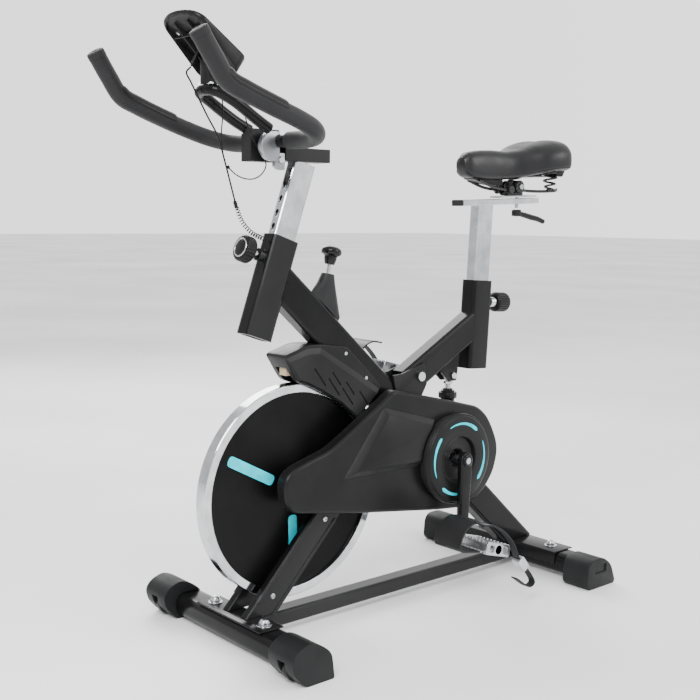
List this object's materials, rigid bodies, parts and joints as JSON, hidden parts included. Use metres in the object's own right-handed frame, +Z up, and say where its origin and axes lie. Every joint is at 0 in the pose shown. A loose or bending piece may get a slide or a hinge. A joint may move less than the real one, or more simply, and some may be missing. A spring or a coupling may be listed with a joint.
{
  "type": "indoor spin bike",
  "caption": "Indoor exercise bike with a chrome-rimmed flywheel, belt drive under a plastic cover, height-adjustable handlebar and saddle posts, and a sprung seat strut.",
  "frame": {"origin": "on the floor, at the centre of the bounding box in plan", "axes": "+X to the rider's left, +Y to the rear, +Z up"},
  "size_m": [0.504, 1.0697, 1.1428],
  "materials": {
    "black_paint": "satin powder coat",
    "chrome": "polished plating",
    "black_plastic": "fine texture",
    "gloss_trim": "smooth",
    "rubber": "matt",
    "foam": "matt foam sleeve",
    "felt": "pressed felt",
    "vinyl": "synthetic leather, satin",
    "steel": "zinc plated",
    "cord": "smooth cable jacket"
  },
  "bodies": {
    "frame": {"front_tube": "black_paint", "rear_tube": "black_paint", "front_cap_left": "rubber", "front_cap_right": "rubber", "rear_cap_left": "rubber", "rear_cap_right": "rubber", "fork_base_plate": "black_paint", "rear_saddle_plate": "black_paint", "base_bar": "black_paint", "fork_leg_left": "black_paint", "fork_leg_right": "black_paint", "main_strut": "black_paint", "head_sleeve": "black_paint", "brake_shroud_left": "black_plastic", "brake_shroud_right": "black_plastic", "knob_boot": "rubber", "drive_belt": "rubber", "belt_cover": "black_plastic", "belt_cover_back": "black_plastic", "crank_disc": "gloss_trim", "pivot_bolt": "chrome", "shock_body": "black_paint"},
    "transport_wheel_left": {"transport_wheel_left": "black_plastic"},
    "transport_wheel_right": {"transport_wheel_right": "black_plastic"},
    "flywheel": {"flywheel_rim": "chrome", "flywheel_web": "black_paint", "flywheel_axle": "steel"},
    "crank": {"crank_axle": "steel", "crank_arm_left": "black_paint", "crank_arm_right": "black_paint"},
    "pedal_left": {"pedal_left": "steel", "toe_clip_left": "black_plastic"},
    "pedal_right": {"pedal_right": "steel", "toe_clip_right": "black_plastic"},
    "brake_slider": {"brake_rod": "steel", "brake_pad": "felt"},
    "brake_knob": {"brake_knob": "gloss_trim"},
    "handlebar": {"handlebar_post": "chrome", "head_box": "black_plastic", "handlebar": "foam", "console_loop": "black_paint", "stem_clamp": "chrome", "console": "black_plastic", "console_wire": "cord", "pulse_wire_left": "cord", "pulse_wire_right": "cord", "coil_cord": "cord"},
    "head_knob": {"head_knob": "black_plastic"},
    "seat_strut": {"seat_strut": "black_paint"},
    "shock_rod": {"shock_rod": "steel"},
    "seat_knob": {"seat_knob": "black_plastic"},
    "seat_post": {"seat_post": "chrome", "rail_plug": "black_plastic"},
    "saddle_carriage": {"saddle_carriage": "steel"},
    "clamp_lever": {"clamp_lever": "black_plastic"},
    "saddle": {"saddle": "vinyl", "saddle_springs": "steel"}
  },
  "joints": [
    {"name": "flywheel_spin", "type": "hinge", "parent": "frame", "child": "flywheel", "pos_m": [0, -0.209, 0.275], "axis": [1, 0, 0], "continuous": true},
    {"name": "crank_spin", "type": "hinge", "parent": "frame", "child": "crank", "pos_m": [0, 0.17, 0.298], "axis": [1, 0, 0], "continuous": true},
    {"name": "pedal_spin_left", "type": "hinge", "parent": "crank", "child": "pedal_left", "pos_m": [0.16, 0.165, 0.131], "axis": [1, 0, 0], "continuous": true},
    {"name": "pedal_spin_right", "type": "hinge", "parent": "crank", "child": "pedal_right", "pos_m": [-0.16, 0.175, 0.465], "axis": [1, 0, 0], "continuous": true},
    {"name": "wheel_spin_left", "type": "hinge", "parent": "frame", "child": "transport_wheel_left", "pos_m": [0.208, -0.36, 0.026], "axis": [1, 0, 0], "continuous": true},
    {"name": "wheel_spin_right", "type": "hinge", "parent": "frame", "child": "transport_wheel_right", "pos_m": [-0.208, -0.36, 0.026], "axis": [1, 0, 0], "continuous": true},
    {"name": "brake_press", "type": "slide", "parent": "frame", "child": "brake_slider", "axis": [0, -0.2, -0.9798], "range_m": [0, 0.016], "stiffness_N_per_m": 1500, "springref_m": -0.008},
    {"name": "resistance_turn", "type": "hinge", "parent": "brake_slider", "child": "brake_knob", "pos_m": [0, -0.131, 0.635], "axis": [0, 0.2, 0.9798], "range_deg": [-720, 720]},
    {"name": "handlebar_height", "type": "slide", "parent": "frame", "child": "handlebar", "axis": [0, 0.3249, 0.9457], "range_m": [-0.08, 0.07], "deforming": ["coil_cord"]},
    {"name": "head_knob_pull", "type": "slide", "parent": "frame", "child": "head_knob", "axis": [0, -0.9457, 0.3249], "range_m": [0, 0.01], "stiffness_N_per_m": 2000, "springref_m": -0.005},
    {"name": "seat_suspension", "type": "hinge", "parent": "frame", "child": "seat_strut", "pos_m": [0, 0.112, 0.471], "axis": [1, 0, 0], "range_deg": [-3.5, 0], "stiffness_Nm_per_rad": 4000, "springref_deg": 1.72},
    {"name": "shock_rod_pivot", "type": "hinge", "parent": "seat_strut", "child": "shock_rod", "pos_m": [0, 0.222, 0.462], "axis": [1, 0, 0], "range_deg": [0, 3.5]},
    {"name": "seat_knob_pull", "type": "slide", "parent": "seat_strut", "child": "seat_knob", "axis": [0, 0.9984, -0.0566], "range_m": [0, 0.01], "stiffness_N_per_m": 2000, "springref_m": -0.005},
    {"name": "seat_height", "type": "slide", "parent": "seat_strut", "child": "seat_post", "axis": [0, 0.0566, 0.9984], "range_m": [-0.1, 0.08]},
    {"name": "saddle_slide", "type": "slide", "parent": "seat_post", "child": "saddle_carriage", "axis": [0, 0.9993, 0.0381], "range_m": [-0.05, 0.04]},
    {"name": "clamp_lever_turn", "type": "hinge", "parent": "saddle_carriage", "child": "clamp_lever", "pos_m": [0, 0.433, 0.812], "axis": [0, 0, 1], "range_deg": [-90, 90]},
    {"name": "saddle_tilt", "type": "hinge", "parent": "saddle_carriage", "child": "saddle", "pos_m": [0, 0.413, 0.872], "axis": [1, 0, 0], "range_deg": [-8, 8]}
  ],
  "couplings": [
    {"joint": "crank_spin", "follows": "flywheel_spin", "ratio": 0.30588},
    {"joint": "shock_rod_pivot", "follows": "seat_suspension", "ratio": -1}
  ]
}
